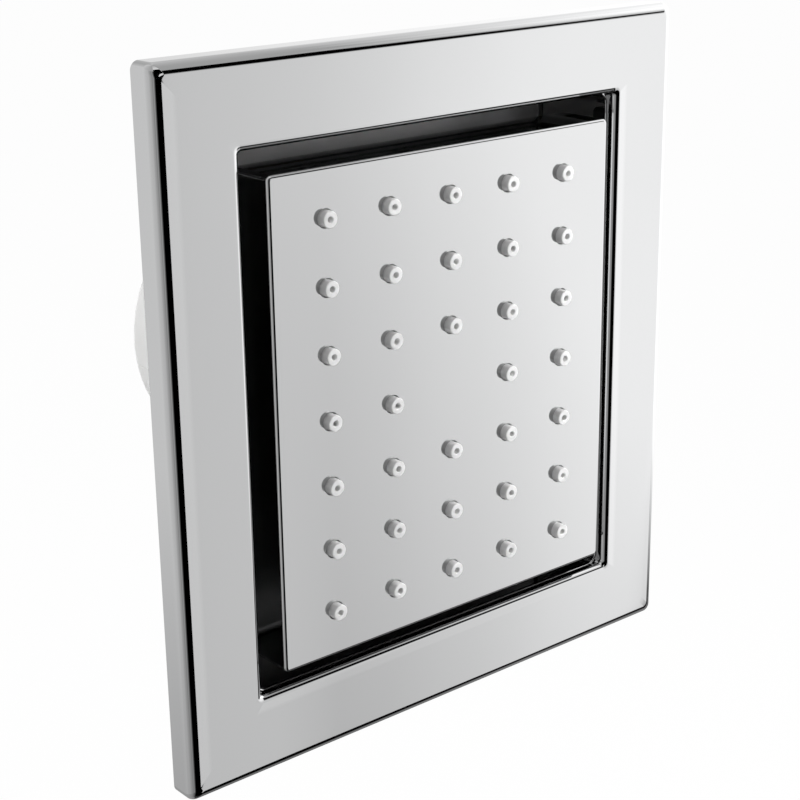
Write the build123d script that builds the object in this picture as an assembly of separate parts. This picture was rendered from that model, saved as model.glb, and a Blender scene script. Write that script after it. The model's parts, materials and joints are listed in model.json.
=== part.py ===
from build123d import *
import os
from math import sqrt

# Flush wall body jet for a shower, in millimetres.
# +Z is up, the front faces -Y, and y = 0 is the plane of the finished wall at the frame's centre.

# Face frame
frame_width = 120.0
frame_height = 130.3
frame_depth = 5.8
frame_wall = 2.0
frame_border = 15.85
frame_corner = 1.1
frame_edge_round = 2.1
opening_corner = 0.8
lip_round = 1.4
frame_boss_radius = 3.2
frame_boss_inset = 8.5
frame_pilot_depth = 2.8

# Recess pan
pan_sheet = 1.2
pan_ledge = 0.4
pan_corner = 2.2
pan_fold = 1.8
pan_rim_round = 0.3
pan_recess = 18.3
pan_mouth_radius = 22.0
flange_thickness = 1.0
flange_clearance = 0.4
gasket_width = 3.0

# Screws
small_screw_radius = 1.1
small_head_radius = 2.5
small_head_height = 1.2
large_screw_radius = 1.5
large_head_radius = 3.2
large_head_height = 2.0
chamber_screw_radius = 1.25
chamber_head_radius = 2.2
chamber_head_height = 1.6
screw_clearance = 0.2
drive_depth = 0.7
drive_width = 0.8
drive_share = 1.3

# Spray head
head_gap = 4.1
cover_proud = 2.05
cover_depth = 10.95
cover_wall = 1.2
cover_corner = 1.0
cover_edge_round = 0.6
nozzle_columns = 5
nozzle_rows = 7
nozzle_margin_x = 11.78
nozzle_margin_z = 8.83
nozzle_radius = 1.5
nozzle_reach = 1.45
nozzle_bore_radius = 0.55
nozzle_clearance = 0.25
mat_thickness = 2.0
head_fit = 0.2
chamber_boss_radius = 2.2
chamber_boss_height = 3.5
chamber_screw_spacing = 30.0
chamber_seal_width = 2.4
chamber_plate = 2.0
back_pad_inset = 4.0
back_pad_height = 2.5
back_pad_bevel = 1.6

# Ball joint
ball_depth = 16.0
ball_radius = 9.5
ball_bore_radius = 3.5
ball_clearance = 0.12
liner_thickness = 1.4
liner_front = 0.6
liner_back = 6.0
stem_radius = 6.0
stem_hex = 15.0
stem_hex_start = 30.5
stem_hex_length = 5.5
stem_thread_length = 8.5
socket_radius = 13.4
socket_end = 2.5
socket_floor = 9.4
socket_cavity_radius = 10.2
seal_height = 2.8
seal_bore_radius = 4.5
water_bore_radius = 4.5
nut_hex = 30.0
nut_length = 17.8
nut_back = 7.6
thread_clearance = 0.05

# Rear housing
housing_radius = 28.0
housing_wall = 2.5
housing_length = 41.8
housing_round = 2.0
housing_flange_radius = 38.0
housing_flange = 3.0
housing_gasket_thickness = 1.2
housing_screw_count = 4
housing_boss_radius = 3.6
housing_boss_height = 6.0
gusset_count = 8
gusset_thickness = 2.4
gusset_length = 14.0
gusset_edge = 2.0

# Inlet
inlet_thread_radius = 13.0
inlet_collar_hex = 32.0
inlet_collar = 8.2
inlet_washer_thickness = 2.0
inlet_washer_radius = 16.5
inlet_nose_radius = 11.0
inlet_reach = 17.3
inlet_socket_radius = 9.3
inlet_socket_depth = 17.0
inlet_chamfer = 0.8
lock_washer_thickness = 1.5
lock_washer_radius = 18.5
lock_nut_hex = 34.0
lock_nut_length = 8.0
lock_nut_chamfer = 1.2
regulator_radius = 8.0
regulator_length = 4.5
regulator_jets = 6
regulator_jet_radius = 1.1
regulator_jet_circle = 4.6
regulator_ring_height = 1.5
regulator_ring_width = 1.6
screen_length = 1.4
screen_web = 0.5
screen_rim = 1.0
ring_height = 1.8
inner_fit = 0.1

# Places along the depth, worked out from the sizes above
frame_front = -frame_depth
rim_depth = frame_front + frame_wall
floor_depth = rim_depth + pan_recess
floor_back = floor_depth + pan_sheet
flange_back = -small_head_height
flange_front = flange_back - flange_thickness
cover_front = frame_front - cover_proud
cover_back = cover_front + cover_depth
mat_front = cover_front + cover_wall
mat_back = mat_front + mat_thickness
chamber_front = mat_front + chamber_boss_height
plate_front = cover_back - chamber_plate
pad_back = cover_back + back_pad_height
socket_back = ball_depth - socket_end
cavity_front = ball_depth - socket_floor
stem_hex_end = stem_hex_start + stem_hex_length
inlet_front = stem_hex_end + ring_height
housing_front = floor_back + housing_gasket_thickness
housing_back = housing_front + housing_length
housing_inner_back = housing_back - housing_wall
collar_back = housing_inner_back - inlet_washer_thickness
collar_front = collar_back - inlet_collar
inlet_back = housing_back + inlet_reach
socket_inner_end = inlet_back - inlet_socket_depth
regulator_seat = socket_inner_end - screen_length - regulator_length - regulator_ring_height

# Sizes across, worked out from the sizes above
opening_width = frame_width - 2 * frame_border
opening_height = frame_height - 2 * frame_border
pan_width = opening_width - 2 * pan_ledge
pan_height = opening_height - 2 * pan_ledge
flange_width = frame_width - 2 * frame_wall - 2 * flange_clearance
flange_height = frame_height - 2 * frame_wall - 2 * flange_clearance
cover_width = opening_width - 2 * head_gap
cover_height = opening_height - 2 * head_gap
inner_width = cover_width - 2 * cover_wall
inner_height = cover_height - 2 * cover_wall
pitch_x = (cover_width - 2 * nozzle_margin_x) / (nozzle_columns - 1)
pitch_z = (cover_height - 2 * nozzle_margin_z) / (nozzle_rows - 1)
chamber_screw_x = inner_width / 2 - chamber_head_radius - head_fit
mat_width = 2 * (chamber_screw_x - chamber_boss_radius - head_fit)
mat_height = inner_height - 2 * head_fit
chamber_width = mat_width - 2 * chamber_seal_width
chamber_height = mat_height - 2 * chamber_seal_width
liner_inner = ball_radius + ball_clearance
liner_outer = liner_inner + liner_thickness
seat_radius = liner_outer + ball_clearance
housing_screw_circle = (housing_radius + housing_flange_radius) / 2
frame_screw_x = frame_width / 2 - frame_boss_inset
frame_screw_z = frame_height / 2 - frame_boss_inset


def slab(width, height, start, end, corner):
    """Rectangle with rounded corners, seen from the front, from one depth to another."""
    block = extrude(RectangleRounded(width, height, corner), end - start)
    return Pos(0, start, 0) * Rot(-90, 0, 0) * block


def barrel(radius, start, end):
    """Round bar along the depth axis."""
    bar = Cylinder(radius, end - start, align=(Align.CENTER, Align.CENTER, Align.MIN))
    return Pos(0, start, 0) * Rot(-90, 0, 0) * bar


def ring(outer, inner, start, end):
    """Plain ring about the depth axis."""
    return barrel(outer, start, end) - barrel(inner, start, end)


def hexagon(across_flats, start, end):
    """Hexagon bar along the depth axis."""
    bar = extrude(RegularPolygon(across_flats / 2, 6, major_radius=False), end - start)
    return Pos(0, start, 0) * Rot(-90, 0, 0) * bar


def ball(radius):
    """Sphere about the joint's centre, its poles on the depth axis."""
    return Pos(0, ball_depth, 0) * Rot(-90, 0, 0) * Sphere(radius)


def front_face(part):
    return part.faces().sort_by(Axis.Y)[0]


def back_face(part):
    return part.faces().sort_by(Axis.Y)[-1]


def screw(radius, length, head_radius, head_height):
    """Screw with its head's underside at y = 0, pointing along +Y, with a cross recess."""
    body = barrel(head_radius, -head_height, 0) + barrel(radius, 0, length)
    slot = Box(head_radius * drive_share, 2 * drive_depth, drive_width)
    cross = slot + Rot(0, 90, 0) * slot
    return body - Pos(0, -head_height, 0) * cross


def turned_round(part):
    """Turn a screw to point along -Y."""
    return Rot(0, 0, 180) * part


def corner_places(x, z):
    return [(x, z), (-x, z), (-x, -z), (x, -z)]


def circle_places(radius, count):
    spots = PolarLocations(radius, count, start_angle=180 / count)
    return [(spot.position.X, spot.position.Y) for spot in spots]


def nozzle_places():
    """Grid of nozzle centres; the middle of the grid is bare."""
    middle = (nozzle_columns // 2, nozzle_rows // 2)
    cells = [(column, row) for column in range(nozzle_columns) for row in range(nozzle_rows)]
    places = []
    for column, row in cells:
        if (column, row) != middle:
            x = (column - (nozzle_columns - 1) / 2) * pitch_x
            z = (row - (nozzle_rows - 1) / 2) * pitch_z
            places.append((x, z))
    return places


def chamber_screw_places():
    steps = (-chamber_screw_spacing, 0, chamber_screw_spacing)
    return [(side * chamber_screw_x, z) for side in (-1, 1) for z in steps]


def copies(part, places):
    """The same piece at each (x, z) place."""
    return [Pos(x, 0, z) * part for x, z in places]


def make_face_frame():
    block = Pos(0, frame_front / 2, 0) * Box(frame_width, frame_depth, frame_height)
    block = fillet(front_face(block).edges(), frame_edge_round)
    frame = block & slab(frame_width, frame_height, frame_front, 0, frame_corner)
    inner_corner = max(frame_corner - frame_wall, opening_corner)
    inside_width = frame_width - 2 * frame_wall
    inside_height = frame_height - 2 * frame_wall
    frame -= slab(inside_width, inside_height, rim_depth, 0, inner_corner)
    frame -= slab(opening_width, opening_height, frame_front, 0, opening_corner)
    frame = fillet(front_face(frame).inner_wires()[0].edges(), lip_round)
    places = corner_places(frame_screw_x, frame_screw_z)
    frame += copies(barrel(frame_boss_radius, rim_depth, flange_front), places)
    pilot = barrel(small_screw_radius + inner_fit, flange_front - frame_pilot_depth, flange_front)
    frame -= copies(pilot, places)
    return frame


def make_recess_pan():
    pan = slab(pan_width + 2 * pan_sheet, pan_height + 2 * pan_sheet, rim_depth, floor_back,
               pan_corner + pan_sheet)
    pan = fillet(back_face(pan).edges(), pan_fold + pan_sheet)
    pan += slab(flange_width, flange_height, flange_front, flange_back, opening_corner)
    inside = slab(pan_width, pan_height, rim_depth, floor_depth, pan_corner)
    inside = fillet(back_face(inside).edges(), pan_fold)
    pan -= inside
    pan = fillet(front_face(pan).inner_wires()[0].edges(), pan_rim_round)
    pan -= barrel(pan_mouth_radius, floor_depth, floor_back)
    screw_hole = barrel(large_screw_radius + screw_clearance, floor_depth, floor_back)
    pan -= copies(screw_hole, circle_places(housing_screw_circle, housing_screw_count))
    flange_hole = barrel(small_screw_radius + screw_clearance, flange_front, flange_back)
    pan -= copies(flange_hole, corner_places(frame_screw_x, frame_screw_z))
    return pan


def make_wall_gasket():
    outer = slab(flange_width, flange_height, flange_back, 0, opening_corner)
    inner_width = flange_width - 2 * gasket_width
    inner_height = flange_height - 2 * gasket_width
    return outer - slab(inner_width, inner_height, flange_back, 0, opening_corner)


def make_frame_screws():
    length = flange_thickness + frame_pilot_depth - inner_fit
    piece = turned_round(screw(small_screw_radius, length, small_head_radius, small_head_height))
    return copies(Pos(0, flange_back, 0) * piece, corner_places(frame_screw_x, frame_screw_z))


def make_gusset():
    """Three-cornered rib between the housing's flange and its side."""
    root = housing_radius - housing_wall / 2
    start = housing_front + housing_flange
    tip = housing_flange_radius - gusset_edge
    outline = Polyline((root, start), (tip, start), (root, start + gusset_length), close=True)
    return extrude(make_face(outline), gusset_thickness / 2, both=True)


def make_rear_housing():
    cup = barrel(housing_radius, housing_front, housing_back)
    cup = fillet(back_face(cup).edges(), housing_round)
    cup += barrel(housing_flange_radius, housing_front, housing_front + housing_flange)
    cup += [Rot(0, turn * 360 / gusset_count, 0) * make_gusset() for turn in range(gusset_count)]
    boss_back = housing_front + housing_flange + housing_boss_height
    places = circle_places(housing_screw_circle, housing_screw_count)
    cup += copies(barrel(housing_boss_radius, housing_front, boss_back), places)
    cup -= copies(barrel(large_screw_radius + inner_fit, housing_front, boss_back), places)
    cup -= barrel(housing_radius - housing_wall, housing_front, housing_inner_back)
    cup -= barrel(inlet_thread_radius + screw_clearance, housing_inner_back, housing_back)
    return cup


def make_housing_gasket():
    inner = housing_radius - housing_wall
    gasket = ring(housing_flange_radius, inner, floor_back, housing_front)
    hole = barrel(large_screw_radius + screw_clearance, floor_back, housing_front)
    return gasket - copies(hole, circle_places(housing_screw_circle, housing_screw_count))


def make_housing_screws():
    length = housing_front + housing_flange + housing_boss_height - floor_depth
    piece = screw(large_screw_radius, length, large_head_radius, large_head_height)
    places = circle_places(housing_screw_circle, housing_screw_count)
    return copies(Pos(0, floor_depth, 0) * piece, places)


def make_inlet_body():
    body = barrel(inlet_nose_radius, inlet_front, collar_front)
    body += hexagon(inlet_collar_hex, collar_front, collar_back)
    body += barrel(inlet_thread_radius, collar_back, inlet_back)
    body = chamfer(back_face(body).edges(), inlet_chamfer)
    stem_end = stem_hex_end + ring_height + stem_thread_length
    body -= barrel(stem_radius + thread_clearance, inlet_front, stem_end)
    body -= barrel(water_bore_radius, stem_end, regulator_seat)
    body -= barrel(regulator_radius, regulator_seat, socket_inner_end)
    body -= barrel(inlet_socket_radius, socket_inner_end, inlet_back)
    return body


def make_inlet_washer():
    hole = inlet_thread_radius + inner_fit
    return ring(inlet_washer_radius, hole, collar_back, housing_inner_back)


def make_lock_washer():
    hole = inlet_thread_radius + screw_clearance
    return ring(lock_washer_radius, hole, housing_back, housing_back + lock_washer_thickness)


def make_lock_nut():
    start = housing_back + lock_washer_thickness
    end = start + lock_nut_length
    nut = hexagon(lock_nut_hex, start, end)
    corner = lock_nut_hex / sqrt(3)
    blank = chamfer(back_face(barrel(corner, start, end)).edges(), lock_nut_chamfer)
    return (nut & blank) - barrel(inlet_thread_radius + thread_clearance, start, end)


def make_regulator_ring():
    outer = regulator_radius - inner_fit
    return ring(outer, outer - regulator_ring_width, regulator_seat, regulator_seat + regulator_ring_height)


def make_flow_regulator():
    start = regulator_seat + regulator_ring_height
    end = start + regulator_length
    body = barrel(regulator_radius - inner_fit, start, end)
    jets = [(spot.position.X, spot.position.Y)
            for spot in PolarLocations(regulator_jet_circle, regulator_jets)]
    return body - copies(barrel(regulator_jet_radius, start, end), jets)


def make_filter_screen():
    start = socket_inner_end - screen_length
    outer = regulator_radius - inner_fit
    rim = ring(outer, outer - screen_rim, start, socket_inner_end)
    return rim + barrel(outer - screen_rim / 2, start, start + screen_web)


def make_ball_stem():
    stem = ball(ball_radius) + barrel(stem_radius, ball_depth, inlet_front + stem_thread_length)
    stem += hexagon(stem_hex, stem_hex_start, stem_hex_end)
    return stem - barrel(ball_bore_radius, ball_depth - ball_radius, inlet_front + stem_thread_length)


def make_stem_ring():
    return ring(inlet_nose_radius - inner_fit, stem_radius + inner_fit, stem_hex_end, inlet_front)


def make_ball_liner():
    zone = barrel(liner_outer, ball_depth - liner_front, ball_depth + liner_back)
    return (zone & ball(liner_outer)) - ball(liner_inner)


def make_swivel_nut():
    end = ball_depth + nut_back
    nut = hexagon(nut_hex, end - nut_length, end)
    nut -= barrel(socket_radius + thread_clearance, end - nut_length, socket_back + thread_clearance)
    return nut - ball(seat_radius)


def make_ball_seal():
    outer = socket_cavity_radius - inner_fit
    seal = ring(outer, seal_bore_radius, cavity_front, cavity_front + seal_height)
    return seal - ball(ball_radius + ball_clearance)


def make_chamber_back():
    width = inner_width - 2 * head_fit
    height = inner_height - 2 * head_fit
    back = slab(width, height, chamber_front, cover_back, opening_corner)
    pad_width = width - 2 * back_pad_inset
    pad_height = height - 2 * back_pad_inset
    pad = slab(pad_width, pad_height, cover_back, pad_back, back_pad_inset)
    back += chamfer(back_face(pad).edges(), back_pad_bevel)
    back += barrel(socket_radius, cover_back, socket_back)
    back -= slab(chamber_width, chamber_height, chamber_front, plate_front, opening_corner)
    back -= barrel(water_bore_radius, plate_front, cavity_front)
    back -= barrel(socket_cavity_radius, cavity_front, socket_back)
    places = chamber_screw_places()
    back -= copies(barrel(chamber_screw_radius + screw_clearance, chamber_front, pad_back), places)
    counterbore = barrel(chamber_head_radius + inner_fit, cover_back - chamber_head_height, pad_back)
    return back - copies(counterbore, places)


def make_chamber_seal():
    outer = slab(mat_width, mat_height, mat_back, chamber_front, opening_corner)
    return outer - slab(chamber_width, chamber_height, mat_back, chamber_front, opening_corner)


def make_chamber_screws():
    underside = cover_back - chamber_head_height
    length = underside - mat_front - inner_fit
    piece = turned_round(screw(chamber_screw_radius, length, chamber_head_radius, chamber_head_height))
    return copies(Pos(0, underside, 0) * piece, chamber_screw_places())


def make_nozzle_mat():
    mat = slab(mat_width, mat_height, mat_front, mat_back, opening_corner)
    tip = cover_front - nozzle_reach
    mat += copies(barrel(nozzle_radius, tip, mat_front), nozzle_places())
    return mat - copies(barrel(nozzle_bore_radius, tip, mat_back), nozzle_places())


def make_spray_cover():
    cover = slab(cover_width, cover_height, cover_front, cover_back, cover_corner)
    cover = fillet(front_face(cover).edges(), cover_edge_round)
    cover -= slab(inner_width, inner_height, mat_front, cover_back, opening_corner)
    places = chamber_screw_places()
    cover += copies(barrel(chamber_boss_radius, mat_front, chamber_front), places)
    cover -= copies(barrel(chamber_screw_radius + inner_fit, mat_front, chamber_front), places)
    hole = barrel(nozzle_radius + nozzle_clearance, cover_front, mat_front)
    return cover - copies(hole, nozzle_places())


nodes = {
    "face_frame": make_face_frame(),
    "recess_pan": make_recess_pan(),
    "wall_gasket": make_wall_gasket(),
    "frame_screws": make_frame_screws(),
    "rear_housing": make_rear_housing(),
    "housing_gasket": make_housing_gasket(),
    "housing_screws": make_housing_screws(),
    "inlet_body": make_inlet_body(),
    "inlet_washer": make_inlet_washer(),
    "inlet_lock_washer": make_lock_washer(),
    "inlet_lock_nut": make_lock_nut(),
    "filter_screen": make_filter_screen(),
    "flow_regulator": make_flow_regulator(),
    "regulator_ring": make_regulator_ring(),
    "ball_stem": make_ball_stem(),
    "stem_ring": make_stem_ring(),
    "ball_liner": make_ball_liner(),
    "swivel_nut": make_swivel_nut(),
    "ball_seal": make_ball_seal(),
    "chamber_back": make_chamber_back(),
    "chamber_seal": make_chamber_seal(),
    "chamber_screws": make_chamber_screws(),
    "nozzle_mat": make_nozzle_mat(),
    "spray_cover": make_spray_cover(),
}

os.makedirs("parts", exist_ok=True)
for name, piece in nodes.items():
    solid = Compound(children=piece) if isinstance(piece, list) else piece
    export_step(solid, f"parts/{name}.step")
    print(name, len(solid.solids()), round(solid.volume))
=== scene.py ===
import bpy
import bmesh
import json
import math
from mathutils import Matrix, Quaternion, Vector


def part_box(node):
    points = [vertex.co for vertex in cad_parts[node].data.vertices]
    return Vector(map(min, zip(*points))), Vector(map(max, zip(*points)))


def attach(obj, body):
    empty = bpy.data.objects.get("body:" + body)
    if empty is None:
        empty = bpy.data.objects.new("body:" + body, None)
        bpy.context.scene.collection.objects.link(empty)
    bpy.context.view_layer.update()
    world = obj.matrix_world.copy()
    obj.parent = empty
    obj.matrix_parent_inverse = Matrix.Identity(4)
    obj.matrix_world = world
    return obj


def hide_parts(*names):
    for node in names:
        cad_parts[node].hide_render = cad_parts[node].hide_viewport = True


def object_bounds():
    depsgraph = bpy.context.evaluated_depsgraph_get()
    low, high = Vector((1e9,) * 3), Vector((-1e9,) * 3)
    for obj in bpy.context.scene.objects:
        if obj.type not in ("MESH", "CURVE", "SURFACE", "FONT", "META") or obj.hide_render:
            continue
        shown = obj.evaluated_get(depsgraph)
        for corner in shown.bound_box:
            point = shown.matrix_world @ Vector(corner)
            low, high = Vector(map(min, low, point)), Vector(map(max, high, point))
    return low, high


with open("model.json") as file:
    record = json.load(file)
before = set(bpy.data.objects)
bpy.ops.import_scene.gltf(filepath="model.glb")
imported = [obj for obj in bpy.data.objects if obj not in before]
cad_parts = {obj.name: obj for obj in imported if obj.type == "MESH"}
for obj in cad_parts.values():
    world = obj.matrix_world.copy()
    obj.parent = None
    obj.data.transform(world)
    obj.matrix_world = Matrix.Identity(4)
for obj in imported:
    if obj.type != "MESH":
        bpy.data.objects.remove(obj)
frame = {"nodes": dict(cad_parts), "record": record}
cadLow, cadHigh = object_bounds()
scene = bpy.context.scene
mm = 0.001
print("frame loaded:", len(frame["nodes"]), "nodes")


# camera at the photograph's angle, with the lens worked out for an 800 x 800 picture
cameraSetup = {
    "focal": 79.539,
    "sensor": 36.0,
    "place": (-206.21, -240.59, 102.391),  # mm
    "azimuth": -39.776,
    "elevation": 18.607,
    "roll": 0.818,
    "near": 0.01,  # m
    "far": 50.0,
}


def directionOf(azimuth, elevation):
    # azimuth 0 is the front (-Y), 90 the right (+X); degrees
    turn, lift = math.radians(azimuth), math.radians(elevation)
    return Vector((math.sin(turn) * math.cos(lift), -math.cos(turn) * math.cos(lift), math.sin(lift)))


def makeCamera(setup):
    data = bpy.data.cameras.new("photoCamera")
    data.lens = setup["focal"]
    data.sensor_width = setup["sensor"]
    data.clip_start = setup["near"]
    data.clip_end = setup["far"]
    camera = bpy.data.objects.new("photoCamera", data)
    scene.collection.objects.link(camera)
    back = directionOf(setup["azimuth"], setup["elevation"])
    camera.rotation_mode = "QUATERNION"
    level = (-back).to_track_quat("-Z", "Y")
    camera.rotation_quaternion = level @ Quaternion((0, 0, 1), -math.radians(setup["roll"]))
    camera.location = Vector(setup["place"]) * mm
    scene.camera = camera


makeCamera(cameraSetup)
print("camera placed")


# node helpers
def addNode(tree, kind, **settings):
    node = tree.nodes.new(kind)
    for name, value in settings.items():
        setattr(node, name, value)
    return node


def mathNode(tree, operation, first, second):
    node = addNode(tree, "ShaderNodeMath", operation=operation)
    for socket, value in zip(node.inputs, (first, second)):
        if isinstance(value, (int, float)):
            socket.default_value = value
        else:
            tree.links.new(value, socket)
    return node.outputs[0]


def spreadNode(tree, value, low, high):
    # stretches the range from low to high over 0 to 1
    spread = addNode(tree, "ShaderNodeMapRange")
    spread.inputs["From Min"].default_value = low
    spread.inputs["From Max"].default_value = high
    tree.links.new(value, spread.inputs["Value"])
    return spread


def mixColour(tree, factor, first, second):
    # a Mix node's colour sockets go by index, because its number sockets have the same names
    mix = addNode(tree, "ShaderNodeMix", data_type="RGBA")
    tree.links.new(factor, mix.inputs["Factor"])
    for socket, colour in zip(mix.inputs[6:8], (first, second)):
        if isinstance(colour, tuple):
            socket.default_value = (*colour, 1)
        else:
            tree.links.new(colour, socket)
    return mix.outputs[2]


def grey(level):
    return (level, level, level, 1)


# shared finish: two tones in soft patches, a roughness that wanders with them, and a fine grain height
finishNoise = {"patchDetail": 3, "grainDetail": 5, "low": 0.3, "high": 0.7}


def makeFinishGroup(noiseSetup):
    group = bpy.data.node_groups.new("finishVariation", "ShaderNodeTree")
    sockets = group.interface
    for name, kind in (("Tone A", "NodeSocketColor"), ("Tone B", "NodeSocketColor"),
                       ("Patch Scale", "NodeSocketFloat"), ("Grain Scale", "NodeSocketFloat"),
                       ("Roughness Low", "NodeSocketFloat"), ("Roughness High", "NodeSocketFloat")):
        sockets.new_socket(name, in_out="INPUT", socket_type=kind)
    for name, kind in (("Colour", "NodeSocketColor"), ("Roughness", "NodeSocketFloat"),
                       ("Height", "NodeSocketFloat")):
        sockets.new_socket(name, in_out="OUTPUT", socket_type=kind)
    entry = addNode(group, "NodeGroupInput")
    leave = addNode(group, "NodeGroupOutput")
    place = addNode(group, "ShaderNodeTexCoord")
    patches = addNode(group, "ShaderNodeTexNoise")
    patches.inputs["Detail"].default_value = noiseSetup["patchDetail"]
    grain = addNode(group, "ShaderNodeTexNoise")
    grain.inputs["Detail"].default_value = noiseSetup["grainDetail"]
    for noise, scale in ((patches, "Patch Scale"), (grain, "Grain Scale")):
        group.links.new(place.outputs["Object"], noise.inputs["Vector"])
        group.links.new(entry.outputs[scale], noise.inputs["Scale"])
    low, high = noiseSetup["low"], noiseSetup["high"]
    spread = spreadNode(group, patches.outputs["Fac"], low, high)
    tone = mixColour(group, spread.outputs["Result"], entry.outputs["Tone A"], entry.outputs["Tone B"])
    both = mathNode(group, "ADD", patches.outputs["Fac"], grain.outputs["Fac"])
    rough = spreadNode(group, mathNode(group, "MULTIPLY", both, 0.5), low, high)
    group.links.new(entry.outputs["Roughness Low"], rough.inputs["To Min"])
    group.links.new(entry.outputs["Roughness High"], rough.inputs["To Max"])
    group.links.new(tone, leave.inputs["Colour"])
    group.links.new(rough.outputs["Result"], leave.inputs["Roughness"])
    group.links.new(grain.outputs["Fac"], leave.inputs["Height"])
    return group


finishGroup = makeFinishGroup(finishNoise)

# tones are linear, scales are per metre, bump is the grain's height in mm
# edge is a metal's tint at grazing view; the lighter tone listed after it is a painted highlight for bands
# beside some edges; dull is its look in the recess
finishes = {
    "chrome": {"toneA": (0.526, 0.528, 0.531), "toneB": (0.534, 0.536, 0.539), "patch": 22, "grain": 900,
               "rough": (0.035, 0.06), "metal": 1.0, "bump": 0.0002, "edge": 0.75,
               # lighter tone used as a painted highlight on the bands beside some edges
               "paintedHighlight": (0.575, 0.577, 0.58),
               "dull": {"tone": (0.6, 0.6, 0.605), "rough": 0.36, "metal": 0.5}},
    "whitePlastic": {"toneA": (0.83, 0.83, 0.82), "toneB": (0.88, 0.88, 0.875), "patch": 35, "grain": 1800,
                     "rough": (0.32, 0.46), "metal": 0.0, "bump": 0.012},
    "greyPlastic": {"toneA": (0.7, 0.705, 0.71), "toneB": (0.78, 0.785, 0.79), "patch": 40, "grain": 1800,
                    "rough": (0.4, 0.55), "metal": 0.0, "bump": 0.012},
    "silicone": {"toneA": (0.84, 0.84, 0.84), "toneB": (0.89, 0.89, 0.885), "patch": 90, "grain": 2600,
                 "rough": (0.5, 0.66), "metal": 0.0, "bump": 0.006},
    "sealRubber": {"toneA": (0.018, 0.018, 0.018), "toneB": (0.032, 0.031, 0.03), "patch": 60, "grain": 2200,
                   "rough": (0.55, 0.75), "metal": 0.0, "bump": 0.02},
    "inletBrass": {"toneA": (0.62, 0.45, 0.2), "toneB": (0.72, 0.54, 0.27), "patch": 60, "grain": 1400,
                   "rough": (0.2, 0.34), "metal": 1.0, "bump": 0.006},
    "screwSteel": {"toneA": (0.52, 0.52, 0.51), "toneB": (0.6, 0.6, 0.59), "patch": 120, "grain": 2000,
                   "rough": (0.2, 0.34), "metal": 1.0, "bump": 0.004},
    "linerPlastic": {"toneA": (0.74, 0.73, 0.69), "toneB": (0.8, 0.79, 0.75), "patch": 60, "grain": 1800,
                     "rough": (0.35, 0.5), "metal": 0.0, "bump": 0.01},
    "regulatorPlastic": {"toneA": (0.13, 0.31, 0.22), "toneB": (0.17, 0.38, 0.28), "patch": 80, "grain": 1800,
                         "rough": (0.35, 0.5), "metal": 0.0, "bump": 0.01},
}
slotFinish = {"chrome": "chrome", "white_plastic": "whitePlastic", "grey_plastic": "greyPlastic",
              "white_silicone": "silicone", "seal_rubber": "sealRubber", "inlet_brass": "inletBrass",
              "screw_steel": "screwSteel", "liner_plastic": "linerPlastic",
              "regulator_plastic": "regulatorPlastic"}


def makeFinish(name, look):
    material = bpy.data.materials.new(name)
    material.use_nodes = True
    tree = material.node_tree
    shader = tree.nodes["Principled BSDF"]
    group = addNode(tree, "ShaderNodeGroup", node_tree=finishGroup)
    group.inputs["Tone A"].default_value = (*look["toneA"], 1)
    group.inputs["Tone B"].default_value = (*look["toneB"], 1)
    group.inputs["Patch Scale"].default_value = look["patch"]
    group.inputs["Grain Scale"].default_value = look["grain"]
    group.inputs["Roughness Low"].default_value = look["rough"][0]
    group.inputs["Roughness High"].default_value = look["rough"][1]
    colour = group.outputs["Colour"]
    if "paintedHighlight" in look:
        # a painted highlight: a band beside some edges gets a lighter colour, standing in for a sheen of
        # light there
        edge = addNode(tree, "ShaderNodeAttribute", attribute_name="edgeBuff")
        colour = mixColour(tree, edge.outputs["Fac"], colour, look["paintedHighlight"])
    rough = group.outputs["Roughness"]
    shader.inputs["Metallic"].default_value = look["metal"]
    if "dull" in look:
        # the plating is thin and dull deep in a recess
        depth = addNode(tree, "ShaderNodeAttribute", attribute_name="thinPlating")
        colour = mixColour(tree, depth.outputs["Fac"], colour, look["dull"]["tone"])
        satin = addNode(tree, "ShaderNodeMix", data_type="FLOAT")
        tree.links.new(depth.outputs["Fac"], satin.inputs["Factor"])
        tree.links.new(rough, satin.inputs[2])
        satin.inputs[3].default_value = look["dull"]["rough"]
        rough = satin.outputs[0]
        metal = spreadNode(tree, depth.outputs["Fac"], 0.0, 1.0)
        metal.inputs["To Min"].default_value = look["metal"]
        metal.inputs["To Max"].default_value = look["dull"]["metal"]
        tree.links.new(metal.outputs["Result"], shader.inputs["Metallic"])
    bump = addNode(tree, "ShaderNodeBump")
    bump.inputs["Strength"].default_value = 1.0
    bump.inputs["Distance"].default_value = look["bump"] * mm
    tree.links.new(group.outputs["Height"], bump.inputs["Height"])
    tree.links.new(colour, shader.inputs["Base Color"])
    tree.links.new(rough, shader.inputs["Roughness"])
    tree.links.new(bump.outputs["Normal"], shader.inputs["Normal"])
    shader.inputs["Specular Tint"].default_value = grey(look.get("edge", 1.0))
    return material


materials = {name: makeFinish(name, look) for name, look in finishes.items()}
for row in frame["record"]["subparts"]:
    node = frame["nodes"][row["node"]]
    node.data.materials.clear()
    node.data.materials.append(materials[slotFinish[row["material_slot"]]])
print("finishes made:", len(materials))


# mesh helpers: every shell is a row of closed outlines joined by quads
cornerSteps = 12
outlineCount = 4 * (cornerSteps + 1)
turnedCount = 96
smallTurnedCount = 48  # for bosses, nozzles and holes
sharpAngle = 32
bevelSteps = 3
tiny = 1e-7


def rectOutline(halfX, halfZ, corner, y):
    points = []
    for quarter in range(4):
        signX = 1 if quarter in (0, 3) else -1
        signZ = 1 if quarter in (0, 1) else -1
        centre = Vector((signX * (halfX - corner), y, signZ * (halfZ - corner)))
        for step in range(cornerSteps + 1):
            angle = math.radians(90 * quarter + 90 * step / cornerSteps)
            points.append(centre + corner * Vector((math.cos(angle), 0, math.sin(angle))))
    return points


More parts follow.
